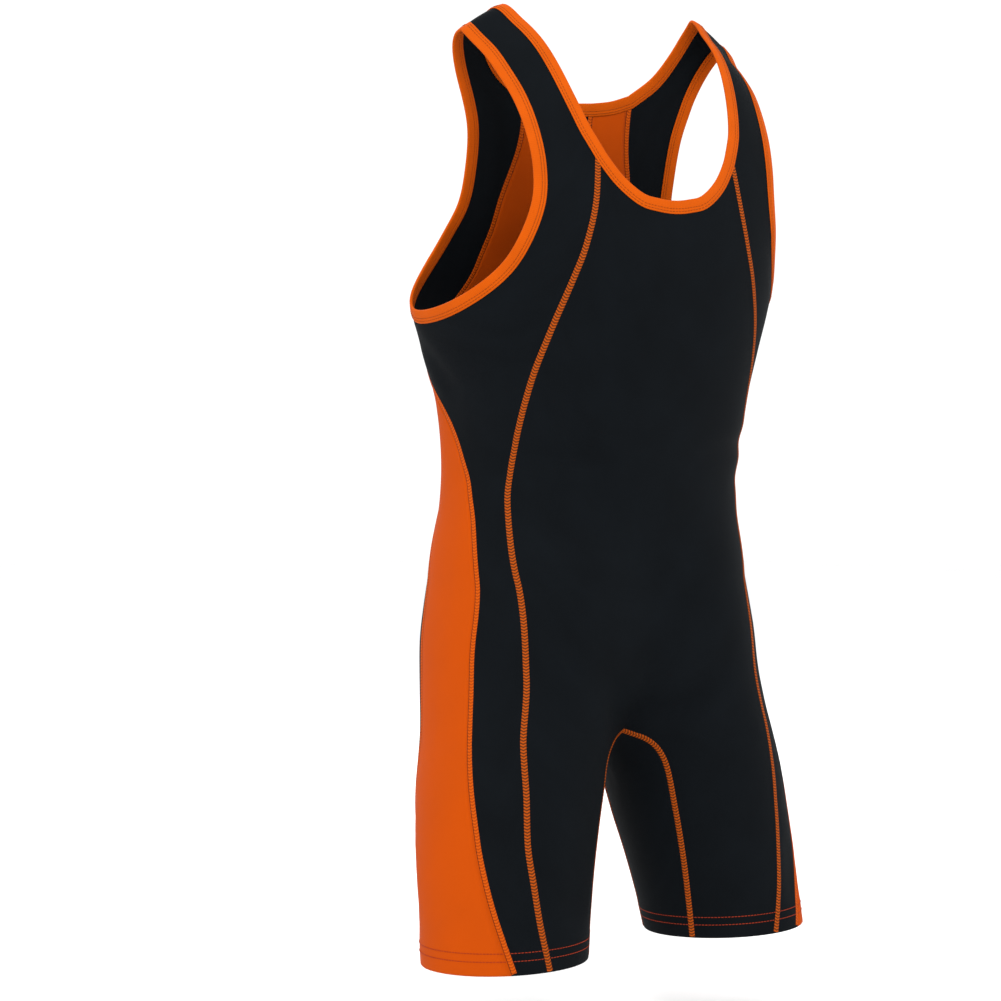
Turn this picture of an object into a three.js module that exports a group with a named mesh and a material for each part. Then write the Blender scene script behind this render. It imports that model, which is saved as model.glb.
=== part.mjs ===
// Wrestling singlet, filled out in the hollow form that it has when worn.
// Millimetres, +Z up, the front faces -Y and the wearer's left is +X.
// The origin lies midway between the straps, at the height where the shoulders carry them.
// Every panel is a thin wall on one smooth figure. The figure is a table of level sections
// with two thighs blended into it, and the seams and edges are short tables on its surface.
import * as THREE from "three";

// Driving sizes
const HEM_Z = -853;
const CLOTH = 1.2;
const SEAM_GAP = 0.3;
const HEM_TOP_Z = HEM_Z + 24;
const HEM_STEP = 2;
const HEM_LAYERS = 2;
const BINDING_WIDTH = 11.5;
const BINDING_WALL = 0.8;
const LAYER_GAP = 0.6;
const SHOULDER_PART = new THREE.Vector3(0, 0.1, 0);
// Stance: how far the legs rise towards the wearer's left, per millimetre
const HEM_RISE = 0.04;
const RISE_FADE = { from: -600, to: -853 };

// Figure: half width, and where the side line, front and back lie on Y, with the squareness of each half.
const TORSO = [
  { z: 0, width: 214, side: 3, front: -80, back: 40, squareFront: 2.4, squareBack: 3 },
  { z: -70, width: 208, side: 3, front: -88, back: 40, squareFront: 2.4, squareBack: 3 },
  { z: -120, width: 200, side: 6, front: -97, back: 46, squareFront: 2.5, squareBack: 3 },
  { z: -180, width: 190, side: 14, front: -109, back: 62, squareFront: 2.5, squareBack: 3 },
  { z: -230, width: 183, side: 22, front: -113, back: 83, squareFront: 2.4, squareBack: 2.8 },
  { z: -270, width: 178, side: 27, front: -111, back: 99, squareFront: 2.3, squareBack: 2.7 },
  { z: -310, width: 165, side: 24, front: -106, back: 107, squareFront: 2.3, squareBack: 2.7 },
  { z: -360, width: 150, side: 19, front: -95, back: 102, squareFront: 2.4, squareBack: 2.8 },
  { z: -420, width: 146, side: 20, front: -82, back: 101, squareFront: 2.3, squareBack: 2.6 },
  { z: -495, width: 154, side: 21, front: -75, back: 109, squareFront: 2.2, squareBack: 2.5 },
  { z: -560, width: 158, side: 20, front: -76, back: 113, squareFront: 2.2, squareBack: 2.5 },
  { z: -640, width: 158, side: 17, front: -76, back: 114, squareFront: 2.2, squareBack: 2.5 },
  { z: -700, width: 154, side: 10, front: -70, back: 104, squareFront: 2.2, squareBack: 2.4 },
];
const RIDGE_FRONT = 150;
const RIDGE_BACK = 70;
const SHOULDER_SLOPE = 0.42;
const SHOULDER_INNER = 110;
const SHOULDER_TURN = 14;
const CREST_LIFT = 8;
const CREST_Y = 3;
const CREST_REACH = 20;
const SHOULDER_FADE = { from: -60, to: -230 };
const SEAT_FROM = -560;
const SEAT_DROP = 108;
const THIGH = [
  { z: -520, x: 70, y: 18, width: 62, depth: 80 },
  { z: -590, x: 82, y: 15, width: 72, depth: 87 },
  { z: -635, x: 90, y: 10, width: 80, depth: 91 },
  { z: -695, x: 101, y: 2, width: 83, depth: 90 },
  { z: -740, x: 109, y: -4, width: 82, depth: 85 },
  { z: -780, x: 116, y: -11, width: 79, depth: 81 },
  { z: -820, x: 121, y: -18, width: 76, depth: 77 },
  { z: -870, x: 126, y: -26, width: 74, depth: 72 },
];
const CROTCH_BLEND = 42;

// Seams: the angle round the body at each level, from the front (0) by the side (90) to the back (180).
const SEAM_AXIS = [
  { z: 0, x: 0, y: 5 },
  { z: -180, x: 0, y: 16 },
  { z: -520, x: 0, y: 16 },
  { z: -600, x: 45, y: 12 },
  { z: -660, x: 86, y: 7 },
  { z: -740, x: 109, y: -4 },
  { z: -780, x: 116, y: -11 },
  { z: -820, x: 121, y: -18 },
  { z: -870, x: 126, y: -26 },
];
const FRONT_SEAM = [
  { z: -180, angle: 34 },
  { z: -220, angle: 37.5 },
  { z: -250, angle: 42 },
  { z: -296, angle: 50 },
  { z: -342, angle: 58 },
  { z: -400, angle: 66 },
  { z: -440, angle: 69 },
  { z: -480, angle: 67 },
  { z: -540, angle: 60 },
  { z: -600, angle: 48 },
  { z: -652, angle: 35 },
  { z: -694, angle: 27 },
  { z: -739, angle: 22 },
  { z: -779, angle: 16 },
  { z: -816, angle: 10 },
  { z: -870, angle: -2 },
];
const FLANK_FRONT_SEAM = [
  { z: -120, angle: 119 },
  { z: -170, angle: 121 },
  { z: -210, angle: 126 },
  { z: -250, angle: 128 },
  { z: -290, angle: 121 },
  { z: -330, angle: 110 },
  { z: -380, angle: 95 },
  { z: -440, angle: 85 },
  { z: -520, angle: 78 },
  { z: -600, angle: 74 },
  { z: -660, angle: 66 },
  { z: -740, angle: 54 },
  { z: -800, angle: 43 },
  { z: -870, angle: 25 },
];
const FLANK_BACK_SEAM = [
  { z: -120, angle: 150 },
  { z: -170, angle: 153 },
  { z: -220, angle: 152 },
  { z: -277, angle: 147 },
  { z: -350, angle: 131 },
  { z: -419, angle: 116 },
  { z: -478, angle: 108 },
  { z: -537, angle: 105 },
  { z: -590, angle: 108 },
  { z: -648, angle: 114 },
  { z: -700, angle: 122 },
  { z: -749, angle: 136 },
  { z: -808, angle: 162 },
  { z: -870, angle: 188 },
];
const GUSSET_FRONT = [
  { x: 0, y: -38, z: -664 },
  { x: 20, y: -40, z: -664 },
  { x: 33, y: -44, z: -673 },
  { x: 42, y: -48, z: -692 },
  { x: 50, y: -50, z: -730 },
  { x: 58, y: -52, z: -775 },
  { x: 67, y: -52, z: -820 },
  { x: 76, y: -52, z: -870 },
];
const GUSSET_BACK = [
  { x: 0, y: 42, z: -664 },
  { x: 18, y: 42, z: -665 },
  { x: 30, y: 42, z: -676 },
  { x: 37, y: 40, z: -700 },
  { x: 44, y: 34, z: -740 },
  { x: 54, y: 26, z: -790 },
  { x: 70, y: 16, z: -870 },
];

// Edges, from the middle of the front to the middle of the back, and round the armhole from the shoulder.
const NECK_FRONT = [
  { x: 0, y: -110, z: -180 },
  { x: 32, y: -108, z: -175 },
  { x: 51, y: -103, z: -161 },
  { x: 65, y: -97, z: -143 },
  { x: 72, y: -93, z: -130 },
];
const NECK_STRAP = [
  { x: 72, y: -93, z: -130 },
  { x: 79, y: -87, z: -115 },
  { x: 87, y: -76, z: -88 },
  { x: 93, y: -62, z: -62 },
  { x: 98, y: -42, z: -37 },
  { x: 103.5, y: -17, z: -13 },
  { x: 107.5, y: 4, z: 0 },
  { x: 109, y: 16, z: -10 },
  { x: 103, y: 28, z: -31 },
  { x: 87, y: 32, z: -54 },
  { x: 60, y: 34, z: -73 },
];
const NECK_BACK_FLANK = [
  { x: 60, y: 34, z: -73 },
  { x: 40, y: 36, z: -79 },
  { x: 19, y: 37, z: -82 },
];
const NECK_BACK = [
  { x: 19, y: 37, z: -82 },
  { x: 0, y: 38, z: -83 },
];
const ARMHOLE = [
  { x: 154, y: 6, z: -20 },
  { x: 156, y: -12, z: -26 },
  { x: 154, y: -32, z: -40 },
  { x: 149, y: -50, z: -62 },
  { x: 142, y: -66, z: -88 },
  { x: 137, y: -78, z: -118 },
  { x: 135, y: -87, z: -150 },
  { x: 137, y: -89, z: -180 },
  { x: 146, y: -83, z: -211 },
  { x: 155, y: -62, z: -240 },
  { x: 167, y: -22, z: -265 },
  { x: 177, y: 22, z: -277 },
  { x: 174, y: 52, z: -274 },
  { x: 160, y: 64, z: -254 },
  { x: 140, y: 60, z: -226 },
  { x: 128, y: 55, z: -201 },
  { x: 119, y: 50, z: -177 },
  { x: 117, y: 44, z: -150 },
  { x: 120, y: 41, z: -112 },
  { x: 129, y: 38, z: -82 },
  { x: 139, y: 32, z: -57 },
  { x: 149, y: 20, z: -33 },
  { x: 154, y: 6, z: -20 },
];
const ARMHOLE_SHARE = { seam: 0.0, neckFront: 0.23, underarmFront: 0.42, underarmBack: 0.62, neckBack: 0.88 };

// How many stretches each line is divided into
const UPPER_ROWS = 10;
const BODY_ROWS = 14;
const LEG_ROWS = 11;
const UNDERARM_Z = -325;
const LEG_TOP_Z = -640;
const NECK_FRONT_COLUMNS = 5;
const STRAP_FRONT_ROWS = 16;
const STRAP_BACK_ROWS = 9;
const FLANK_COLUMNS = 7;
const BACK_COLUMNS = 5;
const SIDE_COLUMNS = 7;
const RING_COLUMNS = 4;
const GUSSET_COLUMNS = 4;

// Smooth curve through table rows: a cubic with the slope of its neighbours at each knot.
function through(knots, values, at) {
  const last = knots.length - 1;
  let i = 0;
  while (i < last - 1 && (knots[i + 1] - at) * (knots[last] - knots[0]) < 0) i += 1;
  const step = knots[i + 1] - knots[i];
  const slope = (k) => {
    const low = Math.max(0, k - 1);
    const high = Math.min(last, k + 1);
    return (values[high] - values[low]) / (knots[high] - knots[low]);
  };
  const s = (at - knots[i]) / step;
  const s2 = s * s;
  const s3 = s2 * s;
  return (2 * s3 - 3 * s2 + 1) * values[i] + (s3 - 2 * s2 + s) * step * slope(i)
    + (3 * s2 - 2 * s3) * values[i + 1] + (s3 - s2) * step * slope(i + 1);
}

const column = (table, name) => table.map((row) => row[name]);
const level = (table, name, z) => {
  const knots = column(table, "z");
  const held = THREE.MathUtils.clamp(z, knots[knots.length - 1], knots[0]);
  return through(knots, column(table, name), held);
};
const smooth = (low, high, x) => {
  const t = THREE.MathUtils.clamp((x - low) / (high - low), 0, 1);
  return t * t * (3 - 2 * t);
};
const smoothLeast = (a, b, reach) => {
  const h = Math.max(reach - Math.abs(a - b), 0) / reach;
  return Math.min(a, b) - h * h * reach / 4;
};

// Below zero inside the torso, above it outside, about in millimetres.
function torsoField(p) {
  const across = Math.abs(p.x);
  const past = across - SHOULDER_INNER;
  const drop = SHOULDER_SLOPE * (past + Math.hypot(past, SHOULDER_TURN)) / 2;
  const crest = CREST_LIFT * Math.exp(-(((p.y - CREST_Y) / CREST_REACH) ** 2));
  const z = p.z + (drop - crest) * smooth(SHOULDER_FADE.to, SHOULDER_FADE.from, p.z);
  const side = level(TORSO, "side", z);
  const forward = p.y < side;
  const edge = level(TORSO, forward ? "front" : "back", z);
  const depth = Math.abs(edge - side);
  const turn = smooth(-25, 25, p.y - side);
  const square = level(TORSO, "squareFront", z) * (1 - turn) + level(TORSO, "squareBack", z) * turn;
  const ridge = RIDGE_FRONT * (1 - turn) + RIDGE_BACK * turn;
  const over = Math.max(0, (z + ridge) / ridge);
  const under = Math.max(0, (SEAT_FROM - z) / SEAT_DROP);
  const upright = Math.hypot((p.y - side) / depth, over, under);
  const width = level(TORSO, "width", z);
  const share = (Math.pow(across / width, square) + Math.pow(upright, square)) ** (1 / square);
  return (share - 1) * Math.min(width, depth);
}

function thighField(p) {
  const width = level(THIGH, "width", p.z);
  const depth = level(THIGH, "depth", p.z);
  const above = Math.max(0, (p.z - THIGH[0].z) / width);
  const share = Math.hypot(
    (Math.abs(p.x) - level(THIGH, "x", p.z)) / width,
    (p.y - level(THIGH, "y", p.z)) / depth,
    above,
  );
  return (share - 1) * Math.min(width, depth);
}

const field = (p) => smoothLeast(torsoField(p), thighField(p), CROTCH_BLEND);

function slopeOf(p) {
  const h = 0.05;
  const at = (dx, dy, dz) => field(new THREE.Vector3(p.x + dx, p.y + dy, p.z + dz));
  return new THREE.Vector3(
    p.x === 0 ? 0 : (at(h, 0, 0) - at(-h, 0, 0)) / (2 * h),
    (at(0, h, 0) - at(0, -h, 0)) / (2 * h),
    (at(0, 0, h) - at(0, 0, -h)) / (2 * h),
  );
}

// Moves a point to the figure's surface. A level point keeps its height.
function onFigure(guess, keepLevel = false) {
  const p = guess.clone();
  for (let k = 0; k < 12; k += 1) {
    const slope = slopeOf(p);
    if (keepLevel) slope.z = 0;
    const step = THREE.MathUtils.clamp(field(p) / slope.lengthSq(), -12, 12);
    p.addScaledVector(slope, -step);
  }
  return p;
}

const pointOf = (row) => new THREE.Vector3(row.x, row.y, row.z);

// A curve through table points, divided evenly along its length, laid on the figure.
function lineThrough(rows, count) {
  const points = rows.map(pointOf);
  const knots = [0];
  for (let i = 1; i < points.length; i += 1) knots.push(knots[i - 1] + points[i].distanceTo(points[i - 1]));
  const whole = knots[knots.length - 1];
  return Array.from({ length: count + 1 }, (unused, i) => {
    const at = whole * i / count;
    return onFigure(new THREE.Vector3(
      through(knots, column(rows, "x"), at),
      through(knots, column(rows, "y"), at),
      through(knots, column(rows, "z"), at),
    ));
  });
}

const axisAt = (z) => new THREE.Vector3(level(SEAM_AXIS, "x", z), level(SEAM_AXIS, "y", z), z);

// The point of the figure at a level, in a direction round the seam axis.
function roundPoint(z, angle) {
  const axis = axisAt(z);
  const turn = THREE.MathUtils.degToRad(angle);
  const out = new THREE.Vector3(Math.sin(turn), -Math.cos(turn), 0);
  let near = 0;
  let far = 260;
  for (let k = 0; k < 40; k += 1) {
    const middle = (near + far) / 2;
    if (field(axis.clone().addScaledVector(out, middle)) < 0) near = middle;
    else far = middle;
  }
  return axis.addScaledVector(out, near);
}

const angleOf = (p) => {
  const axis = axisAt(p.z);
  return THREE.MathUtils.radToDeg(Math.atan2(p.x - axis.x, -(p.y - axis.y)));
};

// A seam from its table, which may start at a point of the neckline.
function seamLine(table, levels, start) {
  const rows = start ? [{ z: start.z, angle: angleOf(start) }, ...table] : table;
  return levels.map((z) => (start && z === start.z ? start.clone() : roundPoint(z, level(rows, "angle", z))));
}

// The figure's middle line, at the front (-1) or back (1).
function middlePoint(z, way) {
  let near = level(TORSO, "side", z);
  let far = near + way * 200;
  for (let k = 0; k < 40; k += 1) {
    const middle = (near + far) / 2;
    if (field(new THREE.Vector3(0, middle, z)) < 0) near = middle;
    else far = middle;
  }
  return new THREE.Vector3(0, near, z);
}

const between = (low, high, count) => Array.from({ length: count + 1 }, (unused, i) => low + (high - low) * i / count);

// A four-sided patch between two sampled sides, following its two ends, laid on the figure.
function patch(left, right, columns, top, bottom) {
  const rows = left.length - 1;
  const chord = (a, b, v) => a.clone().lerp(b, v);
  return left.map((unused, i) => between(0, 1, columns).map((v, j) => {
    if (j === 0) return left[i].clone();
    if (j === columns) return right[i].clone();
    if (i === 0 && top) return top[j].clone();
    if (i === rows && bottom) return bottom[j].clone();
    const p = chord(left[i], right[i], v);
    const u = i / rows;
    if (top) p.addScaledVector(top[j].clone().sub(chord(left[0], right[0], v)), (1 - u) ** 2);
    if (bottom) p.addScaledVector(bottom[j].clone().sub(chord(left[rows], right[rows], v)), u ** 2);
    return onFigure(p, i === rows && !bottom);
  }));
}

// A stripe that wraps far round the body: its points are spread by level and angle between its seams.
function wrappedPatch(left, right, columns, top) {
  return left.map((start, i) => between(0, 1, columns).map((v, j) => {
    if (i === 0) return top[j].clone();
    if (j === 0) return start.clone();
    if (j === columns) return right[i].clone();
    const z = THREE.MathUtils.lerp(start.z, right[i].z, v);
    const turn = (angleOf(right[i]) - angleOf(start) + 360) % 360;
    return roundPoint(z, angleOf(start) + turn * v);
  }));
}

// Sheets: points on the figure with their outward directions, joined by four-sided faces.
function sheetOf(grids) {
  const sheet = { points: [], faces: [] };
  const found = new Map();
  const indexOf = (p) => {
    const key = [p.x, p.y, p.z].map((c) => Math.round(c * 50)).join(",");
    if (!found.has(key)) {
      found.set(key, sheet.points.length);
      sheet.points.push(p);
    }
    return found.get(key);
  };
  for (const grid of grids) {
    const indices = grid.map((row) => row.map(indexOf));
    for (let i = 0; i + 1 < grid.length; i += 1) {
      for (let j = 0; j + 1 < grid[0].length; j += 1) {
        sheet.faces.push([indices[i][j], indices[i + 1][j], indices[i + 1][j + 1], indices[i][j + 1]]);
      }
    }
  }
  return sheet;
}

const mirrored = (grid) => grid.map((row) => row.map((p) => new THREE.Vector3(-p.x, p.y, p.z)).reverse());

const outward = (p) => slopeOf(p).normalize();

// The stance: where the worn form moves each point of the even figure.
const pose = (p) => {
  const share = smooth(-RISE_FADE.from, -RISE_FADE.to, -p.z);
  return new THREE.Vector3(p.x, p.y, p.z + share * HEM_RISE * p.x);
};

// A face starts at the corner whose diagonal keeps nearer to the figure's own curve.
function foldedAlong(face, points) {
  const [a, b, c, d] = face;
  const height = face.reduce((sum, i) => sum + field(points[i]), 0) / 4;
  const off = (i, j) => Math.abs(field(points[i].clone().lerp(points[j], 0.5)) - height);
  return off(a, c) <= off(b, d) ? face : [b, c, d, a];
}

// A closed solid from a sheet: its edge is drawn in by half the seam gap, and each face gets a wall.
function wall(name, sheet, colour, outer = () => 0, inner = () => -CLOTH) {
  const { points, faces } = sheet;
  const used = new Map();
  for (const face of faces) {
    face.forEach((a, k) => used.set(`${a},${face[(k + 1) % 4]}`, [a, face[(k + 1) % 4]]));
  }
  const rim = [...used.values()].filter(([a, b]) => !used.has(`${b},${a}`));
  const normals = points.map(outward);
  const inward = points.map(() => new THREE.Vector3());
  for (const [a, b] of rim) {
    const along = points[b].clone().sub(points[a]).normalize();
    for (const i of [a, b]) inward[i].add(normals[i].clone().cross(along).normalize());
  }
  const placed = points.map((p, i) => {
    if (inward[i].lengthSq() === 0) return p;
    const turn = inward[i].clone().normalize();
    const spread = Math.max(0.5, inward[i].length() / 2);
    return p.clone().addScaledVector(turn, SEAM_GAP / 2 / spread);
  });
  const n = points.length;
  const vertices = [
    ...placed.map((p, i) => p.clone().addScaledVector(normals[i], outer(p))),
    ...placed.map((p, i) => p.clone().addScaledVector(normals[i], inner(p))),
  ].map(pose);
  const index = [];
  for (const face of faces) {
    const [a, b, c, d] = foldedAlong(face, points);
    index.push(a, b, c, a, c, d);
    index.push(n + a, n + c, n + b, n + a, n + d, n + c);
  }
  for (const [a, b] of rim) index.push(a, n + a, n + b, a, n + b, b);
  return solid(name, vertices, index, colour);
}

const ROUGHNESS = 0.62;
const BLACK = "#15171b";
const ORANGE = "#e8620e";

function solid(name, vertices, index, colour) {
  const geometry = new THREE.BufferGeometry();
  geometry.setAttribute("position", new THREE.Float32BufferAttribute(vertices.flatMap((p) => [p.x, p.y, p.z]), 3));
  geometry.setIndex(index);
  geometry.computeVertexNormals();
  const material = new THREE.MeshStandardMaterial({ color: colour, roughness: ROUGHNESS, metalness: 0 });
  const mesh = new THREE.Mesh(geometry, material);
  mesh.name = name;
  return mesh;
}

// A ring with the given section at each station.
function ring(name, sections, colour) {
  const size = sections[0].length;
  const points = sections.flat();
  const index = [];
  sections.forEach((unused, i) => {
    const here = i * size;
    const next = ((i + 1) % sections.length) * size;
    for (let k = 0; k < size; k += 1) {
      const turn = (k + 1) % size;
      const [a, b, c, d] = foldedAlong([here + k, here + turn, next + turn, next + k], points);
      index.push(a, b, c, a, c, d);
    }
  });
  return solid(name, points.map(pose), index, colour);
}

// A point a given way in from a line's first point, along the line's own points.
function along(line, reach) {
  let left = reach;
  for (let i = 0; i + 1 < line.length; i += 1) {
    const step = line[i].distanceTo(line[i + 1]);
    if (left <= step) return line[i].clone().lerp(line[i + 1], left / step);
    left -= step;
  }
  return line[line.length - 1].clone();
}

// How far to go along a slanting line to be a given distance from an edge.
function reachFrom(line, edgeWay, distance) {
  const way = line[1].clone().sub(line[0]).normalize();
  return distance / Math.max(0.45, way.clone().cross(edgeWay).length());
}

// A binding folded over an edge: stations hold the lines that run in from the edge.
function binding(name, lines) {
  const count = lines.length;
  const sections = lines.map((line, i) => {
    const edgeWay = lines[(i + 1) % count][0].clone().sub(lines[(i + count - 1) % count][0]).normalize();
    const edge = line[0];
    const root = along(line, reachFrom(line, edgeWay, BINDING_WIDTH));
    const edgeUp = outward(edge);
    const rootUp = outward(root);
    const off = edge.clone().sub(root).normalize();
    const out = off.addScaledVector(edgeWay, -off.dot(edgeWay)).normalize();
    const low = -CLOTH - LAYER_GAP;
    const at = (p, up, height, beyond) => p.clone().addScaledVector(up, height).addScaledVector(out, beyond);
    const middle = -CLOTH / 2;
    return [
      at(root, rootUp, LAYER_GAP, 0),
      at(edge, edgeUp, LAYER_GAP, LAYER_GAP),
      at(edge, edgeUp, low, LAYER_GAP),
      at(root, rootUp, low, 0),
      at(root, rootUp, low - BINDING_WALL, 0),
      at(edge, edgeUp, low - BINDING_WALL, LAYER_GAP + BINDING_WALL / 2),
      at(edge, edgeUp, middle, LAYER_GAP + BINDING_WALL * 1.5),
      at(edge, edgeUp, LAYER_GAP + BINDING_WALL, LAYER_GAP + BINDING_WALL / 2),
      at(root, rootUp, LAYER_GAP + BINDING_WALL, 0),
    ];
  });
  return ring(name, sections, ORANGE);
}

// Lines of the wearer's left half
const neckFront = lineThrough(NECK_FRONT, NECK_FRONT_COLUMNS);
const strapRows = STRAP_FRONT_ROWS + STRAP_BACK_ROWS;
const neckStrap = lineThrough(NECK_STRAP, strapRows);
const neckFlank = lineThrough(NECK_BACK_FLANK, FLANK_COLUMNS);
const neckBack = lineThrough(NECK_BACK, BACK_COLUMNS);
const frontCorner = neckStrap[0];
const flankCorner = neckFlank[0];
const backCorner = neckBack[0];
for (const p of [neckFront[0], neckBack[BACK_COLUMNS]]) p.x = 0;
neckFront[NECK_FRONT_COLUMNS] = frontCorner.clone();
neckStrap[strapRows] = flankCorner.clone();
neckFlank[FLANK_COLUMNS] = backCorner.clone();

const upperLevels = (top) => between(top.z, UNDERARM_Z, UPPER_ROWS);
const hemLevels = [HEM_TOP_Z + HEM_STEP, HEM_TOP_Z, HEM_Z];
const lowerLevels = [
  ...between(UNDERARM_Z, LEG_TOP_Z, BODY_ROWS).slice(1),
  ...between(LEG_TOP_Z, hemLevels[0], LEG_ROWS - 2).slice(1),
  ...hemLevels.slice(1),
];
const whole = (table, start) => seamLine(table, [...upperLevels(start), ...lowerLevels], start);
const frontSeam = whole(FRONT_SEAM, frontCorner);
const flankFrontSeam = whole(FLANK_FRONT_SEAM, flankCorner);
const flankBackSeam = whole(FLANK_BACK_SEAM, backCorner);

// A gusset seam runs evenly down to the hem's fold, then has a point at each level of the hem.
function gussetLine(table) {
  const atLevel = (z) => {
    const low = table.slice(-4);
    return onFigure(new THREE.Vector3(level(low, "x", z), level(low, "y", z), z), true);
  };
  const hem = hemLevels.map(atLevel);
  const down = table.filter((row) => row.z > hemLevels[0] + 1);
  const line = lineThrough([...down, { x: hem[0].x, y: hem[0].y, z: hem[0].z }], LEG_ROWS - 2);
  line[0] = onFigure(line[0].setX(0));
  return [...line.slice(0, -1), ...hem];
}
const gussetFront = gussetLine(GUSSET_FRONT);
const gussetBack = gussetLine(GUSSET_BACK);
const middleLine = (top, gusset, way) => {
  const low = between(UNDERARM_Z, gusset[0].z, BODY_ROWS).slice(1, -1);
  return [top, ...upperLevels(top).slice(1).map((z) => middlePoint(z, way)),
    ...low.map((z) => middlePoint(z, way)), ...gusset];
};
const middleFront = middleLine(neckFront[0], gussetFront, -1);
const middleBack = middleLine(neckBack[BACK_COLUMNS], gussetBack, 1);

// Panels
const frontHalf = patch(middleFront, frontSeam, NECK_FRONT_COLUMNS, neckFront);
const backHalf = patch(flankBackSeam, middleBack, BACK_COLUMNS, neckBack);
const flank = wrappedPatch(flankFrontSeam, flankBackSeam, FLANK_COLUMNS, neckFlank);
const sideLower = patch(frontSeam.slice(UPPER_ROWS), flankFrontSeam.slice(UPPER_ROWS), SIDE_COLUMNS);

// The upper side panel runs round the armhole, from the shoulder seam down the front and up the back.
const outerLoop = [
  ...neckStrap.slice(0, STRAP_FRONT_ROWS + 1).reverse(),
  ...frontSeam.slice(1, UPPER_ROWS + 1),
  ...sideLower[0].slice(1),
  ...flankFrontSeam.slice(0, UPPER_ROWS).reverse(),
  ...neckStrap.slice(STRAP_FRONT_ROWS, strapRows).reverse(),
];
const armholeShares = [
  ...between(ARMHOLE_SHARE.seam, ARMHOLE_SHARE.neckFront, STRAP_FRONT_ROWS),
  ...between(ARMHOLE_SHARE.neckFront, ARMHOLE_SHARE.underarmFront, UPPER_ROWS).slice(1),
  ...between(ARMHOLE_SHARE.underarmFront, ARMHOLE_SHARE.underarmBack, SIDE_COLUMNS).slice(1),
  ...between(ARMHOLE_SHARE.underarmBack, ARMHOLE_SHARE.neckBack, UPPER_ROWS).slice(1),
  ...between(ARMHOLE_SHARE.neckBack, 1, STRAP_BACK_ROWS).slice(1),
];
const ARMHOLE_STEPS = 400;
const armholeFine = lineThrough(ARMHOLE, ARMHOLE_STEPS);
const armholeLoop = armholeShares.map((share) => armholeFine[Math.round(share * ARMHOLE_STEPS)]);
const sideUpper = patch(outerLoop, armholeLoop, RING_COLUMNS);
const backOfSeam = sideUpper.length - 1;
sideUpper[backOfSeam] = sideUpper[backOfSeam].map((p) => p.clone().add(SHOULDER_PART));

const flip = (grid) => grid.map((row) => [...row].reverse());
const gussetHalf = patch(gussetFront, gussetBack, GUSSET_COLUMNS);

const depthAtHem = (p) => (p.z < HEM_TOP_Z + HEM_STEP / 2 ? -HEM_LAYERS * CLOTH : -CLOTH);
const group = new THREE.Group();
const sides = [
  { word: "left", turn: (grid) => grid },
  { word: "right", turn: mirrored },
];
group.add(wall("front_panel", sheetOf([frontHalf, mirrored(frontHalf)]), BLACK, undefined, depthAtHem));
group.add(wall("back_panel", sheetOf([backHalf, mirrored(backHalf)]), BLACK, undefined, depthAtHem));
group.add(wall("crotch_gusset", sheetOf([flip(gussetHalf), mirrored(flip(gussetHalf))]), BLACK, undefined, depthAtHem));
for (const { word, turn } of sides) {
  group.add(wall(`side_panel_${word}`, sheetOf([turn(sideUpper), turn(sideLower)]), BLACK, undefined, depthAtHem));
  group.add(wall(`flank_stripe_${word}`, sheetOf([turn(flank)]), ORANGE, undefined, depthAtHem));
}

// The upper rows that start on the neckline run in from its edge, those at the armhole run the other way.
const neckLines = [
  ...frontHalf[0].map((unused, j) => frontHalf.map((row) => row[j])),
  ...sideUpper.slice(0, STRAP_FRONT_ROWS).reverse(),
  ...sideUpper.slice(-STRAP_BACK_ROWS - 1, -1).reverse(),
  ...flank[0].map((unused, j) => flank.map((row) => row[j])).slice(0, -1),
  ...backHalf[0].map((unused, j) => backHalf.map((row) => row[j])),
];
const other = (line) => line.map((p) => new THREE.Vector3(-p.x, p.y, p.z));
const roundNeck = [...neckLines, ...neckLines.slice(1, -1).reverse().map(other)];
group.add(binding("neck_binding", roundNeck));
const armholeLines = sideUpper.slice(0, -1).map((row) => [...row].reverse());
group.add(binding("armhole_binding_left", armholeLines));
group.add(binding("armhole_binding_right", [...armholeLines].reverse().map(other)));

export default group;
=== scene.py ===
"""Wrestling singlet, filled out in the hollow form that it has when worn.

The figure, its seams and its edges are worked out in millimetres, as the cut is, and turned
into metres where a piece is made. +Z is up, the front faces -Y and the wearer's left is +X.
"""

import math

import bmesh
import bpy
import numpy as np
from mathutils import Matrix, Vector


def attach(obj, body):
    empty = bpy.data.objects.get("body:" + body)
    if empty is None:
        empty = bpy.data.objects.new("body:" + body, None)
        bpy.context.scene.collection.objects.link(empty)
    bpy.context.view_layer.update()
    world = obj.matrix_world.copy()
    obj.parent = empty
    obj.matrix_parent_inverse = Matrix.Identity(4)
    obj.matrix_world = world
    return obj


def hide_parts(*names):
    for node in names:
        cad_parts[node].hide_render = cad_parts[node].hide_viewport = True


bl_info = {
    "name": "Wrestling singlet",
    "version": (1, 0, 0),
    "blender": (4, 5, 0),
    "location": "View3D > Sidebar > Singlet",
    "description": "Makes a stretch-knit wrestling singlet with its seams, bindings and hems",
    "category": "Object",
}

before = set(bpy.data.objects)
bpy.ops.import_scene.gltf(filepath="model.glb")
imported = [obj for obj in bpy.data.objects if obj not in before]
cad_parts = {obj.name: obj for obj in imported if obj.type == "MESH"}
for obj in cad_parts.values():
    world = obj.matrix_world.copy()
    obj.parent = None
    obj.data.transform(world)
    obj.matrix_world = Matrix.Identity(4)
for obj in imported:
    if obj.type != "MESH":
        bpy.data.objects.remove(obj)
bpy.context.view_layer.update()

MM = 0.001
BODY = "root"

# Levels of the garment
HEM_Z = -853.0
HEM_TURN_UP = 24.0
HEM_TOP_Z = HEM_Z + HEM_TURN_UP
HEM_FOLD = 1.2
HEM_PROUD = 0.3
HEM_PROUD_FADE = 1.5
UNDERARM_Z = -325.0
LEG_TOP_Z = -640.0

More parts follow.
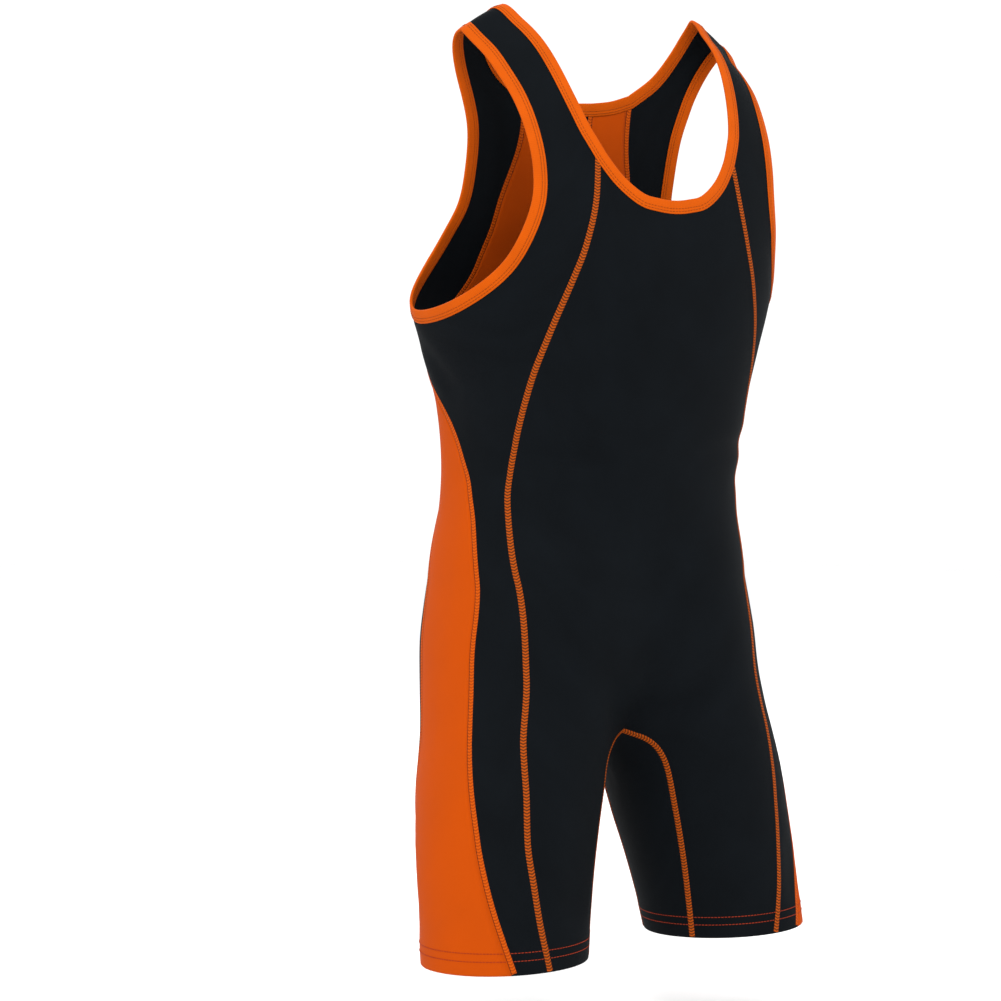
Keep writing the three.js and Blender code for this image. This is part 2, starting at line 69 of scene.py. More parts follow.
# Stance: how far the legs rise towards the wearer's left, per millimetre
HEM_RISE = 0.04
RISE_TOP = 600.0
RISE_FULL = 853.0

# Figure: half width, and where the side line, front and back lie, with the squareness of each half
TORSO_COLUMNS = ("z", "width", "side", "front", "back", "square_front", "square_back")
TORSO_ROWS = (
    (0, 214, 3, -80, 40, 2.4, 3),
    (-70, 208, 3, -88, 40, 2.4, 3),
    (-120, 200, 6, -97, 46, 2.5, 3),
    (-180, 190, 14, -109, 62, 2.5, 3),
    (-230, 183, 22, -113, 83, 2.4, 2.8),
    (-270, 178, 27, -111, 99, 2.3, 2.7),
    (-310, 165, 24, -106, 107, 2.3, 2.7),
    (-360, 150, 19, -95, 102, 2.4, 2.8),
    (-420, 146, 20, -82, 101, 2.3, 2.6),
    (-495, 154, 21, -75, 109, 2.2, 2.5),
    (-560, 158, 20, -76, 113, 2.2, 2.5),
    (-640, 158, 17, -76, 114, 2.2, 2.5),
    (-700, 154, 10, -70, 104, 2.2, 2.4),
)
RIDGE_FRONT = 150.0
RIDGE_BACK = 70.0
SHOULDER_SLOPE = 0.42
SHOULDER_INNER = 110.0
SHOULDER_TURN = 14.0
CREST_LIFT = 8.0
CREST_Y = 3.0
CREST_REACH = 20.0
SHOULDER_FADE_TOP = -60.0
SHOULDER_FADE_LOW = -230.0
SEAT_FROM = -560.0
SEAT_DROP = 108.0
SIDE_BLEND = 25.0
THIGH_COLUMNS = ("z", "x", "y", "width", "depth")
THIGH_ROWS = (
    (-520, 70, 18, 62, 80),
    (-590, 82, 15, 72, 87),
    (-635, 90, 10, 80, 91),
    (-695, 101, 2, 83, 90),
    (-740, 109, -4, 82, 85),
    (-780, 116, -11, 79, 81),
    (-820, 121, -18, 76, 77),
    (-870, 126, -26, 74, 72),
)
CROTCH_BLEND = 42.0

# How points are found on the figure
SLOPE_STEP = 0.05
LONGEST_MOVE = 12.0
ROUND_REACH = 260.0
MIDDLE_REACH = 200.0
HALVINGS = 34
NEAR_STEPS = 5

# Seams: the angle round the body at each level, from the front (0) by the side (90) to the back (180)
AXIS_COLUMNS = ("z", "x", "y")
AXIS_ROWS = (
    (0, 0, 5),
    (-180, 0, 16),
    (-520, 0, 16),
    (-600, 45, 12),
    (-660, 86, 7),
    (-740, 109, -4),
    (-780, 116, -11),
    (-820, 121, -18),
    (-870, 126, -26),
)
SEAM_COLUMNS = ("z", "angle")
FRONT_SEAM_ROWS = (
    (-180, 34),
    (-220, 37.5),
    (-250, 42),
    (-296, 50),
    (-342, 58),
    (-400, 66),
    (-440, 69),
    (-480, 67),
    (-540, 60),
    (-600, 48),
    (-652, 35),
    (-694, 27),
    (-739, 22),
    (-779, 16),
    (-816, 10),
    (-870, -2),
)
FLANK_FRONT_ROWS = (
    (-120, 119),
    (-170, 121),
    (-210, 126),
    (-250, 128),
    (-290, 121),
    (-330, 110),
    (-380, 95),
    (-440, 85),
    (-520, 78),
    (-600, 74),
    (-660, 66),
    (-740, 54),
    (-800, 43),
    (-870, 25),
)
FLANK_BACK_ROWS = (
    (-120, 150),
    (-170, 153),
    (-220, 152),
    (-277, 147),
    (-350, 131),
    (-419, 116),
    (-478, 108),
    (-537, 105),
    (-590, 108),
    (-648, 114),
    (-700, 122),
    (-749, 136),
    (-808, 162),
    (-870, 188),
)
PLACE_COLUMNS = ("x", "y", "z")
GUSSET_LOW_ROWS = 4
GUSSET_FRONT_ROWS = (
    (0, -38, -664),
    (20, -40, -664),
    (33, -44, -673),
    (42, -48, -692),
    (50, -50, -730),
    (58, -52, -775),
    (67, -52, -820),
    (76, -52, -870),
)
GUSSET_BACK_ROWS = (
    (0, 42, -664),
    (18, 42, -665),
    (30, 42, -676),
    (37, 40, -700),
    (44, 34, -740),
    (54, 26, -790),
    (70, 16, -870),
)

# Edges, from the middle of the front to the middle of the back, and round the armhole
NECK_FRONT_ROWS = (
    (0, -110, -180),
    (6, -110, -179.85),
    (16, -109.5, -178.6),
    (32, -108, -175),
    (51, -103, -161),
    (65, -97, -143),
    (72, -93, -130),
)
NECK_STRAP_ROWS = (
    (72, -93, -130),
    (79, -87, -115),
    (87, -76, -88),
    (93, -62, -62),
    (98, -42, -37),
    (103.5, -17, -13),
    (107.5, 4, 0),
    (109, 16, -10),
    (103, 28, -31),
    (87, 32, -54),
    (60, 34, -73),
)
NECK_FLANK_ROWS = (
    (60, 34, -73),
    (40, 36, -79),
    (19, 37, -82),
)
NECK_BACK_ROWS = (
    (19, 37, -82),
    (0, 38, -83),
)
ARMHOLE_ROWS = (
    (154, 6, -20),
    (156, -12, -26),
    (154, -32, -40),
    (149, -50, -62),
    (142, -66, -88),
    (137, -78, -118),
    (135, -87, -150),
    (137, -89, -180),
    (146, -83, -211),
    (155, -62, -240),
    (167, -22, -265),
    (177, 22, -277),
    (174, 52, -274),
    (160, 64, -254),
    (140, 60, -226),
    (128, 55, -201),
    (119, 50, -177),
    (117, 44, -150),
    (120, 41, -112),
    (129, 38, -82),
    (139, 32, -57),
    (149, 20, -33),
    (154, 6, -20),
)
ARMHOLE_SHARES = (0.0, 0.23, 0.42, 0.62, 0.88, 1.0)

# How many stretches each line of the cloth is divided into
UPPER_STEPS = 48
BODY_STEPS = 72
LEG_STEPS = 42
HEM_STEPS = 6
FRONT_STEPS = 34
BACK_STEPS = 30
FLANK_STEPS = 18
SIDE_STEPS = 22
RING_STEPS = 12
STRAP_FRONT_STEPS = 42
STRAP_BACK_STEPS = 24
GUSSET_STEPS = 16

# Creases: where each starts and ends on one side (1 is the wearer's left), its bow, width and depth
CREASE_ROWS = (
    (-1, -396, 74, -412, 20, -7, 9, 1.0),
    (-1, -434, 98, -424, 50, 5, 12, 0.8),
    (-1, -462, 76, -476, 34, -5, 14, 0.6),
    (1, -386, 80, -403, 28, -5, 10, 1.1),
    (1, -422, 101, -438, 56, 6, 12, 0.9),
    (1, -380, 152, -392, 106, -6, 10, 1.3),
    (1, -409, 167, -414, 118, 4, 12, 1.1),
    (-1, -386, 160, -401, 110, -5, 11, 1.2),
    (-1, -418, 174, -425, 128, 6, 10, 1.0),
    (1, -446, 170, -440, 140, 3, 13, 0.7),
    (1, -668, -50, -604, 24, 7, 14, 1.6),
    (-1, -664, -47, -597, 16, 9, 15, 1.7),
    (1, -692, -42, -660, 22, 5, 10, 1.0),
    (-1, -698, -44, -672, 12, 4, 11, 0.9),
    (1, -640, -60, -628, -12, -3, 16, 1.1),
    (-1, -644, -64, -634, -22, -3, 14, 1.0),
    (1, -668, 212, -640, 150, 6, 12, 1.6),
    (-1, -661, 214, -632, 146, 8, 13, 1.5),
    (1, -700, 206, -690, 152, 4, 10, 1.1),
    (-1, -708, 210, -694, 158, 5, 11, 1.0),
    (1, -762, 32, -838, 24, 0, 13, 0.8),
    (-1, -748, -8, -834, -20, 0, 14, 0.7),
    (-1, -728, 36, -806, 30, 0, 12, 0.6),
    (1, -772, 122, -842, 112, 0, 12, 0.8),
    (-1, -756, 130, -836, 118, 0, 13, 0.9),
    (1, -284, 102, -344, 82, 0, 10, 1.2),
    (-1, -292, 106, -356, 86, 0, 11, 1.1),
    (1, -238, 142, -312, 126, 0, 12, 1.0),
    (-1, -244, 146, -322, 130, 0, 13, 1.1),
    (1, -206, 52, -262, 66, 0, 12, 0.7),
    (-1, -198, 50, -270, 70, 0, 13, 0.8),
    (1, -112, 168, -172, 158, 0, 12, 0.8),
    (-1, -106, 164, -160, 152, 0, 11, 0.7),
)
CREASE_SAMPLES = 13
CREASE_REACH = 3.0
CREASE_TAPER = 0.8
LIP_DISTANCE = 1.7
LIP_WIDTH = 0.9
LIP_SHARE = 0.35

# Slow swells of the whole cloth: a direction, where the swell starts, and its height
DRIFT_ROWS = (
    (0.031, 0.017, 0.023, 0.4, 0.30),
    (-0.021, 0.038, 0.014, 2.1, 0.26),
    (0.012, -0.027, 0.044, 4.3, 0.22),
)


# Bindings: heights over the figure at places from the tape's inner edge, then from its fold
BINDING_STEP = 3.6
BINDING_ROOT_PROFILE = ((0.0, 0.18), (0.5, 0.42), (2.1, 0.3), (3.4, 0.5), (4.6, 0.34), (6.0, 0.56))
BINDING_EDGE_PROFILE = ((3.6, 0.6), (1.6, 0.5))
BINDING_STITCH_ROWS = (2.1, 4.6)
FOLD_RADIUS = 1.0
INNER_FACE = 1.1

# Flat seams: heights across the band, and how the gusset's and the stripes' differ from the others
SEAM_STEP = 2.4
SEAM_UNDER_BINDING = 1.2
SHOULDER_ROW = -4
SHOULDER_POINTS = 12
GUSSET_SEAM_SHARE = 0.96
STRIPE_SEAM_SHIFT = 0.53
STRIPE_SEAM_LIFT = 0.7
FLATLOCK_PROFILE = (-0.3, 0.42, 0.72, 0.6, 0.46, 0.6, 0.72, 0.42, -0.3)

# Sewing thread: how full a stitch is, and how deep it sinks and rises, in its radii
THREAD_SIDES = 5
STITCH_POINTS = 5
STITCH_FULLNESS = 2.6
THREAD_SUNK = 2.2
THREAD_RISE = 2.4
STITCH_LIFT = 0.32
STITCH_LIFT_INSIDE = 1.42
HEM_RING_STEPS = 160

# Materials: the pitch of the loops, ribs and threads, in metres
KNIT_WALE = 0.00105
KNIT_COURSE = 0.0008
TAPE_RIB = 0.0016
SEAM_THREAD = 0.0027
RELIEF_DEPTH = 0.0002
SHEEN_ROUGHNESS = 0.45

# Stage, in metres and degrees. The camera has the photograph's angle, scale and frame
FLOOR_Z = -0.93
LIGHTS_AIM = Vector((0, 0, -0.42))
CAMERA_AIM = Vector((0, 0, -0.44))
CAMERA_DISTANCE = 3.0
CAMERA_AZIMUTH = -36
CAMERA_RISE = 1.5
PHOTO_SIDE = 1001
METRES_A_PIXEL = 0.00092
FRAME_MIDDLE = PHOTO_SIDE / 2
GARMENT_MIDDLE = (602, 491)
SENSOR_WIDTH = 36


def table(columns, rows):
    values = np.array(rows, float)
    return {name: values[:, k] for k, name in enumerate(columns)}


TORSO = table(TORSO_COLUMNS, TORSO_ROWS)
THIGH = table(THIGH_COLUMNS, THIGH_ROWS)
SEAM_AXIS = table(AXIS_COLUMNS, AXIS_ROWS)
FRONT_SEAM = table(SEAM_COLUMNS, FRONT_SEAM_ROWS)
FLANK_FRONT_SEAM = table(SEAM_COLUMNS, FLANK_FRONT_ROWS)
FLANK_BACK_SEAM = table(SEAM_COLUMNS, FLANK_BACK_ROWS)


def through(knots, values, at):
    """A smooth curve through a table: a cubic with the slope of its neighbours at each knot."""
    at = np.asarray(at, float)
    way = np.sign(knots[-1] - knots[0])
    i = np.searchsorted(way * knots[1:-1], way * at, side="left")
    low = np.maximum(np.arange(len(knots)) - 1, 0)
    high = np.minimum(np.arange(len(knots)) + 1, len(knots) - 1)
    slopes = (values[high] - values[low]) / (knots[high] - knots[low])
    step = knots[i + 1] - knots[i]
    s = (at - knots[i]) / step
    start = (2 * s**3 - 3 * s**2 + 1) * values[i] + (s**3 - 2 * s**2 + s) * step * slopes[i]
    end = (3 * s**2 - 2 * s**3) * values[i + 1] + (s**3 - s**2) * step * slopes[i + 1]
    return start + end


def level(rows, name, z):
    knots = rows["z"]
    return through(knots, rows[name], np.clip(z, knots[-1], knots[0]))


def smooth(low, high, x):
    t = np.clip((x - low) / (high - low), 0, 1)
    return t * t * (3 - 2 * t)


def torso_field(p):
    across = np.abs(p[..., 0])
    fade = smooth(SHOULDER_FADE_LOW, SHOULDER_FADE_TOP, p[..., 2])
    past = across - SHOULDER_INNER
    drop = SHOULDER_SLOPE * (past + np.hypot(past, SHOULDER_TURN)) / 2
    crest = CREST_LIFT * np.exp(-(((p[..., 1] - CREST_Y) / CREST_REACH) ** 2))
    z = p[..., 2] + (drop - crest) * fade
    side = level(TORSO, "side", z)
    forward = p[..., 1] < side
    edge = np.where(forward, level(TORSO, "front", z), level(TORSO, "back", z))
    depth = np.abs(edge - side)
    turn = smooth(-SIDE_BLEND, SIDE_BLEND, p[..., 1] - side)
    square = level(TORSO, "square_front", z) * (1 - turn) + level(TORSO, "square_back", z) * turn
    ridge = RIDGE_FRONT * (1 - turn) + RIDGE_BACK * turn
    over = np.maximum(0, (z + ridge) / ridge)
    under = np.maximum(0, (SEAT_FROM - z) / SEAT_DROP)
    upright = np.sqrt(((p[..., 1] - side) / depth) ** 2 + over**2 + under**2)
    width = level(TORSO, "width", z)
    share = ((across / width) ** square + upright**square) ** (1 / square)
    return (share - 1) * np.minimum(width, depth)


def thigh_field(p):
    width = level(THIGH, "width", p[..., 2])
    depth = level(THIGH, "depth", p[..., 2])
    above = np.maximum(0, (p[..., 2] - THIGH["z"][0]) / width)
    across = (np.abs(p[..., 0]) - level(THIGH, "x", p[..., 2])) / width
    forward = (p[..., 1] - level(THIGH, "y", p[..., 2])) / depth
    share = np.sqrt(across**2 + forward**2 + above**2)
    return (share - 1) * np.minimum(width, depth)


def field(p):
    """Below zero inside the figure, above it outside, about in millimetres."""
    torso = torso_field(p)
    thigh = thigh_field(p)
    h = np.maximum(CROTCH_BLEND - np.abs(torso - thigh), 0) / CROTCH_BLEND
    return np.minimum(torso, thigh) - h * h * CROTCH_BLEND / 4


def slope_of(p):
    slope = np.zeros(p.shape)
    for axis in range(3):
        step = np.zeros(3)
        step[axis] = SLOPE_STEP
        slope[..., axis] = (field(p + step) - field(p - step)) / (2 * SLOPE_STEP)
    slope[..., 0] = np.where(p[..., 0] == 0, 0, slope[..., 0])
    return slope


def unit(vectors):
    return vectors / np.linalg.norm(vectors, axis=-1, keepdims=True)


def outward(p):
    return unit(slope_of(p))


def on_figure(guess, keep_level=False, steps=9):
    """Moves points to the figure's surface. A point that keeps its level keeps its height."""
    p = np.array(guess, float)
    for _ in range(steps):
        slope = slope_of(p)
        slope[..., 2] = np.where(keep_level, 0, slope[..., 2])
        step = np.clip(field(p) / (slope**2).sum(-1), -LONGEST_MOVE, LONGEST_MOVE)
        p -= slope * step[..., None]
    return p


def between(low, high, count):
    return np.linspace(low, high, count + 1)


def lengths_along(points):
    steps = np.linalg.norm(np.diff(points, axis=0), axis=1)
    return np.concatenate([[0], np.cumsum(steps)])


def curve_at(rows, shares):
    """A curve through a table of points, at shares of its length, laid on the figure."""
    points = np.array(rows, float)
    knots = lengths_along(points)
    at = shares * knots[-1]
    return on_figure(np.stack([through(knots, points[:, k], at) for k in range(3)], axis=-1))


def line_through(rows, count):
    """The same curve, divided evenly along its length."""
    return curve_at(rows, between(0, 1, count))


def axis_at(z):
    return np.stack([level(SEAM_AXIS, "x", z), level(SEAM_AXIS, "y", z), z], axis=-1)


def points_at(line, at, places):
    """The points of a line at some lengths along it, where `at` is the length at each of its own."""
    return np.stack([np.interp(places, at, line[:, k]) for k in range(3)], axis=-1)


def last_inside(near, far, place):
    """The distance at which places that start inside the figure leave it, found by halving."""
    for _ in range(HALVINGS):
        middle = (near + far) / 2
        inside = field(place(middle)) < 0
        near = np.where(inside, middle, near)
        far = np.where(inside, far, middle)
    return near


def round_point(z, angle):
    """The point of the figure at a level, in a direction round the seam axis."""
    z, angle = np.broadcast_arrays(np.asarray(z, float), np.asarray(angle, float))
    axis = axis_at(z)
    turn = np.radians(angle)
    out = np.stack([np.sin(turn), -np.cos(turn), np.zeros(z.shape)], axis=-1)

    def place(distance):
        return axis + out * distance[..., None]

    return place(last_inside(np.zeros(z.shape), np.full(z.shape, ROUND_REACH), place))


def angle_of(p):
    axis = axis_at(p[..., 2])
    return np.degrees(np.arctan2(p[..., 0] - axis[..., 0], -(p[..., 1] - axis[..., 1])))


def seam_line(rows, levels, start):
    """A seam from its table, starting at a point of the neckline."""
    knots = np.concatenate([[start[2]], rows["z"]])
    angles = np.concatenate([[angle_of(start)], rows["angle"]])
    line = round_point(levels, through(knots, angles, np.maximum(levels, knots[-1])))
    line[0] = start
    return line


def middle_line(levels, way):
    """The figure's middle line at the given levels, at the front (-1) or back (1)."""
    def place(y):
        return np.stack([np.zeros(levels.shape), y, levels], axis=-1)

    near = level(TORSO, "side", levels)
    return place(last_inside(near, near + way * MIDDLE_REACH, place))


def patch(left, right, columns, top=None):
    """A four-sided patch between two sides, following its top, laid on the figure."""
    share = between(0, 1, columns)[None, :, None]
    points = left[:, None] * (1 - share) + right[:, None] * share
    down = np.linspace(0, 1, len(left))
    if top is not None:
        points = points + ((1 - down) ** 2)[:, None, None] * (top - points[0])[None]
    keep = np.zeros(points.shape[:2], bool)
    keep[-1] = True
    points[:, 1:-1] = on_figure(points[:, 1:-1], keep[:, 1:-1])
    points[:, 0] = left
    points[:, -1] = right
    return points


def wrapped_patch(left, right, columns, top):
    """A stripe that wraps far round the body, spread by level and angle between its seams."""
    share = between(0, 1, columns)[None, :]
    z = left[:, 2:] * (1 - share) + right[:, 2:] * share
    start = angle_of(left)[:, None]
    turn = np.mod(angle_of(right)[:, None] - start + 360, 360)
    points = round_point(z, start + turn * share)
    points[0] = top
    points[:, 0] = left
    points[:, -1] = right
    return points


def other_side(points):
    return points * np.array([-1.0, 1.0, 1.0])


def mirrored(points):
    return other_side(points[:, ::-1])


def gusset_line(rows, hem_levels):
    """A gusset seam that runs evenly down to the hem, then has a point at each level of the hem."""
    places = np.array(rows, float)
    low = table(PLACE_COLUMNS, rows[-GUSSET_LOW_ROWS:])
    guess = np.stack([level(low, "x", hem_levels), level(low, "y", hem_levels), hem_levels], axis=-1)
    hem = on_figure(guess, keep_level=True)
    down = places[places[:, 2] > hem_levels[0] + 1]
    line = line_through(np.vstack([down, hem[0]]), LEG_STEPS)
    first = line[0].copy()
    first[0] = 0
    line[0] = on_figure(first)
    return np.vstack([line[:-1], hem])


def upper_levels(top):
    return between(top[2], UNDERARM_Z, UPPER_STEPS)


def cut_lines():
    """Every seam and edge of the wearer's left half."""
    cut = {}
    cut["neck_front"] = line_through(NECK_FRONT_ROWS, FRONT_STEPS)
    cut["neck_strap"] = line_through(NECK_STRAP_ROWS, STRAP_FRONT_STEPS + STRAP_BACK_STEPS)
    cut["neck_flank"] = line_through(NECK_FLANK_ROWS, FLANK_STEPS)
    cut["neck_back"] = line_through(NECK_BACK_ROWS, BACK_STEPS)
    cut["neck_front"][0, 0] = 0
    cut["neck_back"][-1, 0] = 0
    cut["neck_front"][-1] = cut["neck_strap"][0]
    cut["neck_strap"][-1] = cut["neck_flank"][0]
    cut["neck_flank"][-1] = cut["neck_back"][0]
    hem_levels = between(HEM_TOP_Z, HEM_Z + HEM_FOLD, HEM_STEPS)
    body_levels = between(UNDERARM_Z, LEG_TOP_Z, BODY_STEPS)[1:]
    leg_levels = between(LEG_TOP_Z, HEM_TOP_Z, LEG_STEPS)[1:-1]
    lower = np.concatenate([body_levels, leg_levels, hem_levels])
    for name, rows, start in (
        ("front_seam", FRONT_SEAM, cut["neck_strap"][0]),
        ("flank_front", FLANK_FRONT_SEAM, cut["neck_flank"][0]),
        ("flank_back", FLANK_BACK_SEAM, cut["neck_back"][0]),
    ):
        cut[name] = seam_line(rows, np.concatenate([upper_levels(start), lower]), start)
    for name, rows, top, way in (
        ("front", GUSSET_FRONT_ROWS, cut["neck_front"][0], -1),
        ("back", GUSSET_BACK_ROWS, cut["neck_back"][-1], 1),
    ):
        gusset = gusset_line(rows, hem_levels)
        body = between(UNDERARM_Z, gusset[0, 2], BODY_STEPS)[1:-1]
        middle = middle_line(np.concatenate([upper_levels(top)[1:], body]), way)
        cut["gusset_" + name] = gusset
        cut["middle_" + name] = np.vstack([top[None], middle, gusset])
    return cut


def panels(cut):
    """The panels of the wearer's left half, each a grid of points on the figure."""
    made = {}
    made["front"] = patch(cut["middle_front"], cut["front_seam"], FRONT_STEPS, cut["neck_front"])
    made["back"] = patch(cut["flank_back"], cut["middle_back"], BACK_STEPS, cut["neck_back"])
    made["flank"] = wrapped_patch(cut["flank_front"], cut["flank_back"], FLANK_STEPS, cut["neck_flank"])
    made["side"] = patch(cut["front_seam"][UPPER_STEPS:], cut["flank_front"][UPPER_STEPS:], SIDE_STEPS)
    made["gusset"] = patch(cut["gusset_front"], cut["gusset_back"], GUSSET_STEPS)
    strap = cut["neck_strap"]
    outer = np.vstack([
        strap[: STRAP_FRONT_STEPS + 1][::-1],
        cut["front_seam"][1 : UPPER_STEPS + 1],
        made["side"][0][1:],
        cut["flank_front"][:UPPER_STEPS][::-1],
        strap[STRAP_FRONT_STEPS:-1][::-1],
    ])
    counts = (STRAP_FRONT_STEPS, UPPER_STEPS, SIDE_STEPS, UPPER_STEPS, STRAP_BACK_STEPS)
    shares = [np.zeros(1)]
    for k, count in enumerate(counts):
        shares.append(between(ARMHOLE_SHARES[k], ARMHOLE_SHARES[k + 1], count)[1:])
    edge = curve_at(ARMHOLE_ROWS, np.concatenate(shares))
    edge[-1] = edge[0]
    made["ring"] = patch(outer, edge, RING_STEPS)
    row = made["ring"][-1]
    row[1:-1] = on_figure(row[1:-1])
    made["ring"][0] = row
    return made


def crease_lines():
    """Each crease's samples on the figure, with its width and depth at each."""
    lines = []
    for side, z, angle, to_z, to_angle, bow, width, depth in CREASE_ROWS:
        t = np.linspace(0, 1, CREASE_SAMPLES)
        heights = z + (to_z - z) * t + bow * 4 * t * (1 - t)
        points = round_point(heights, angle + (to_angle - angle) * t)
        points[:, 0] *= side
        lines.append((points, t, width, depth))
    return lines


CREASES = crease_lines()


def crease_lift(points, share):
    """How far the creases draw the cloth in or let it stand out at each point."""
    flat = points.reshape(-1, 3)
    lift = np.zeros(len(flat))
    for line, t, width, depth in CREASES:
        reach = CREASE_REACH * width
        near = np.all((flat > line.min(0) - reach) & (flat < line.max(0) + reach), axis=1)
        if not near.any():
            continue
        some = flat[near]
        best = np.full(len(some), np.inf)
        along = np.zeros(len(some))
        for k in range(CREASE_SAMPLES - 1):
            way = line[k + 1] - line[k]
            s = np.clip(((some - line[k]) @ way) / (way @ way), 0, 1)
            gap = np.linalg.norm(some - line[k] - s[:, None] * way, axis=1)
            closer = gap < best
            best = np.where(closer, gap, best)
            along = np.where(closer, t[k] + s * (t[k + 1] - t[k]), along)
        ends = np.sin(np.pi * np.clip(along, 0, 1)) ** CREASE_TAPER
        trough = np.exp(-((best / width) ** 2))
        lip = np.exp(-(((best - LIP_DISTANCE * width) / (LIP_WIDTH * width)) ** 2))
        lift[near] += depth * share * ends * (LIP_SHARE * lip - trough)
    for x, y, z, turn, size in DRIFT_ROWS:
        lift += size * share * np.sin(flat @ np.array([x, y, z]) + turn)
    return lift.reshape(points.shape[:-1])


def worn(points, share):
    """Points of the even figure with the creases, the step of the hem and the stance, in metres."""
    step = HEM_PROUD * smooth(-HEM_TOP_Z - HEM_PROUD_FADE, -HEM_TOP_Z + HEM_PROUD_FADE, -points[..., 2])
    lift = crease_lift(points, share) + step
    moved = points + outward(points) * lift[..., None]
    rise = smooth(RISE_TOP, RISE_FULL, -moved[..., 2]) * HEM_RISE
    moved[..., 2] += rise * moved[..., 0]
    return moved * MM


def with_hem(points):
    """Adds the fold under the lowest row and the cloth turned up inside it."""
    ups = outward(points)
    low = points[-1]
    low_up = ups[-1]
    down = unit(np.array([0.0, 0.0, -1.0]) + low_up * low_up[:, 2:])
    rows = [points]
    faces = [ups]
    for degrees in (30, 60, 90, 120, 150):
        turn = math.radians(degrees)
        facing = low_up * math.cos(turn) + down * math.sin(turn)
        rows.append((low - low_up * HEM_FOLD + facing * HEM_FOLD)[None])
        faces.append(facing[None])
    for k in range(1, HEM_STEPS + 2):
        rows.append((points[-k] - ups[-k] * 2 * HEM_FOLD)[None])
        faces.append(-ups[-k][None])
    return np.vstack(rows), np.vstack(faces)


def grid_piece(name, places, faces, scale, material, weld, parted):
    """A mesh grid moved to a grid of places, its faces turned the way that they should look.

    A parted grid has its middle line twice: the halves are welded where they meet, and stay apart
    below that.
    """
    across = places[:, 1:] - places[:, :-1]
    upward = places[:-1] - places[1:]
    looks = np.cross(across[:-1], upward[:, :-1])
    if (looks * faces[:-1, :-1]).sum() < 0:
        places = places[:, ::-1]
        scale = scale[:, ::-1]
    rows, columns = places.shape[:2]
    bm = bmesh.new()
    bmesh.ops.create_grid(bm, x_segments=columns - 1, y_segments=rows - 1, size=1.0)
    cloth_uv = bm.loops.layers.uv.new("cloth_uv")
    spots = {}
    columns_of = {}
    for vertex in bm.verts:
        column = round((vertex.co.x + 1) / 2 * (columns - 1))
        row = round((1 - vertex.co.y) / 2 * (rows - 1))
        spots[vertex] = scale[row, column]
        columns_of[vertex] = column
        vertex.co = places[row, column]
    for face in bm.faces:
        face.smooth = True
        for loop in face.loops:
            loop[cloth_uv].uv = spots[loop.vert]
    if parted:
        left = columns // 2 - 1
        web = [face for face in bm.faces if {columns_of[v] for v in face.verts} == {left, left + 1}]
        bmesh.ops.delete(bm, geom=web, context="FACES_ONLY")
    if weld or parted:
        bmesh.ops.remove_doubles(bm, verts=bm.verts, dist=1e-6)
    mesh = bpy.data.meshes.new(name)
    bm.to_mesh(mesh)
    bm.free()
    piece = bpy.data.objects.new(name, mesh)
    bpy.context.scene.collection.objects.link(piece)
    mesh.materials.append(material)
    return piece


def lengths_over(points, axis):
    steps = np.linalg.norm(np.diff(points, axis=axis), axis=2)
    return np.insert(steps.cumsum(axis=axis), 0, 0, axis=axis)


def grain(points):
    """Where each point lies on the flat cloth, in metres: across the grid, and down it."""
    across = lengths_over(points, 1)
    middle = points.shape[1] // 2
    across = across - across[:, middle : middle + 1]
    return np.stack([across, -lengths_over(points, 0)], axis=-1) * MM


def worn_piece(name, grid, material, other=False, weld=False, parted=False):
    """A piece as worn, from a grid of points, faces and cloth places, or its like on the other side."""
    points, faces, scale = grid
    if other:
        points, faces = other_side(points), other_side(faces)
    places = worn(points, bpy.context.scene.singlet_sizes.crease_share)
    return grid_piece(name, places, faces, scale, material, weld, parted)


def give_wall(piece, thickness, offset):
    wall = piece.modifiers.new("cloth_wall", "SOLIDIFY")
    wall.thickness = thickness
    wall.offset = offset
    wall.use_rim = True
    return piece


def settle(piece, slot, *nodes):
    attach(piece, BODY)
    if nodes:
        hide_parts(*nodes)
    return piece


def give_outputs(tree, **sockets):
    for name in sockets:
        tree.interface.new_socket(name, in_out="OUTPUT", socket_type="NodeSocketFloat")
    out = add_node(tree, "NodeGroupOutput")
    for name, socket in sockets.items():
        tree.links.new(socket, out.inputs[name])
    return tree


def add_node(tree, kind, **values):
    node = tree.nodes.new(kind)
    for key, value in values.items():
        setattr(node, key, value)
    return node


def math_node(tree, operation, *values):
    node = add_node(tree, "ShaderNodeMath", operation=operation)
    for k, value in enumerate(values):
        if isinstance(value, bpy.types.NodeSocket):
            tree.links.new(value, node.inputs[k])
        else:
            node.inputs[k].default_value = value
    return node.outputs[0]


def waves(tree, place, pitch):
    return math_node(tree, "SINE", math_node(tree, "MULTIPLY", place, math.tau / pitch))


def noise_node(tree, vector, scale, detail, roughness):
    node = add_node(tree, "ShaderNodeTexNoise")
    tree.links.new(vector, node.inputs["Vector"])
    node.inputs["Scale"].default_value = scale
    node.inputs["Detail"].default_value = detail
    node.inputs["Roughness"].default_value = roughness
    return node.outputs["Fac"]


def cloth_place(tree):
    uv = add_node(tree, "ShaderNodeUVMap", uv_map="cloth_uv")
    parts = add_node(tree, "ShaderNodeSeparateXYZ")
    tree.links.new(uv.outputs["UV"], parts.inputs["Vector"])
    return uv.outputs["UV"], parts.outputs["X"], parts.outputs["Y"]


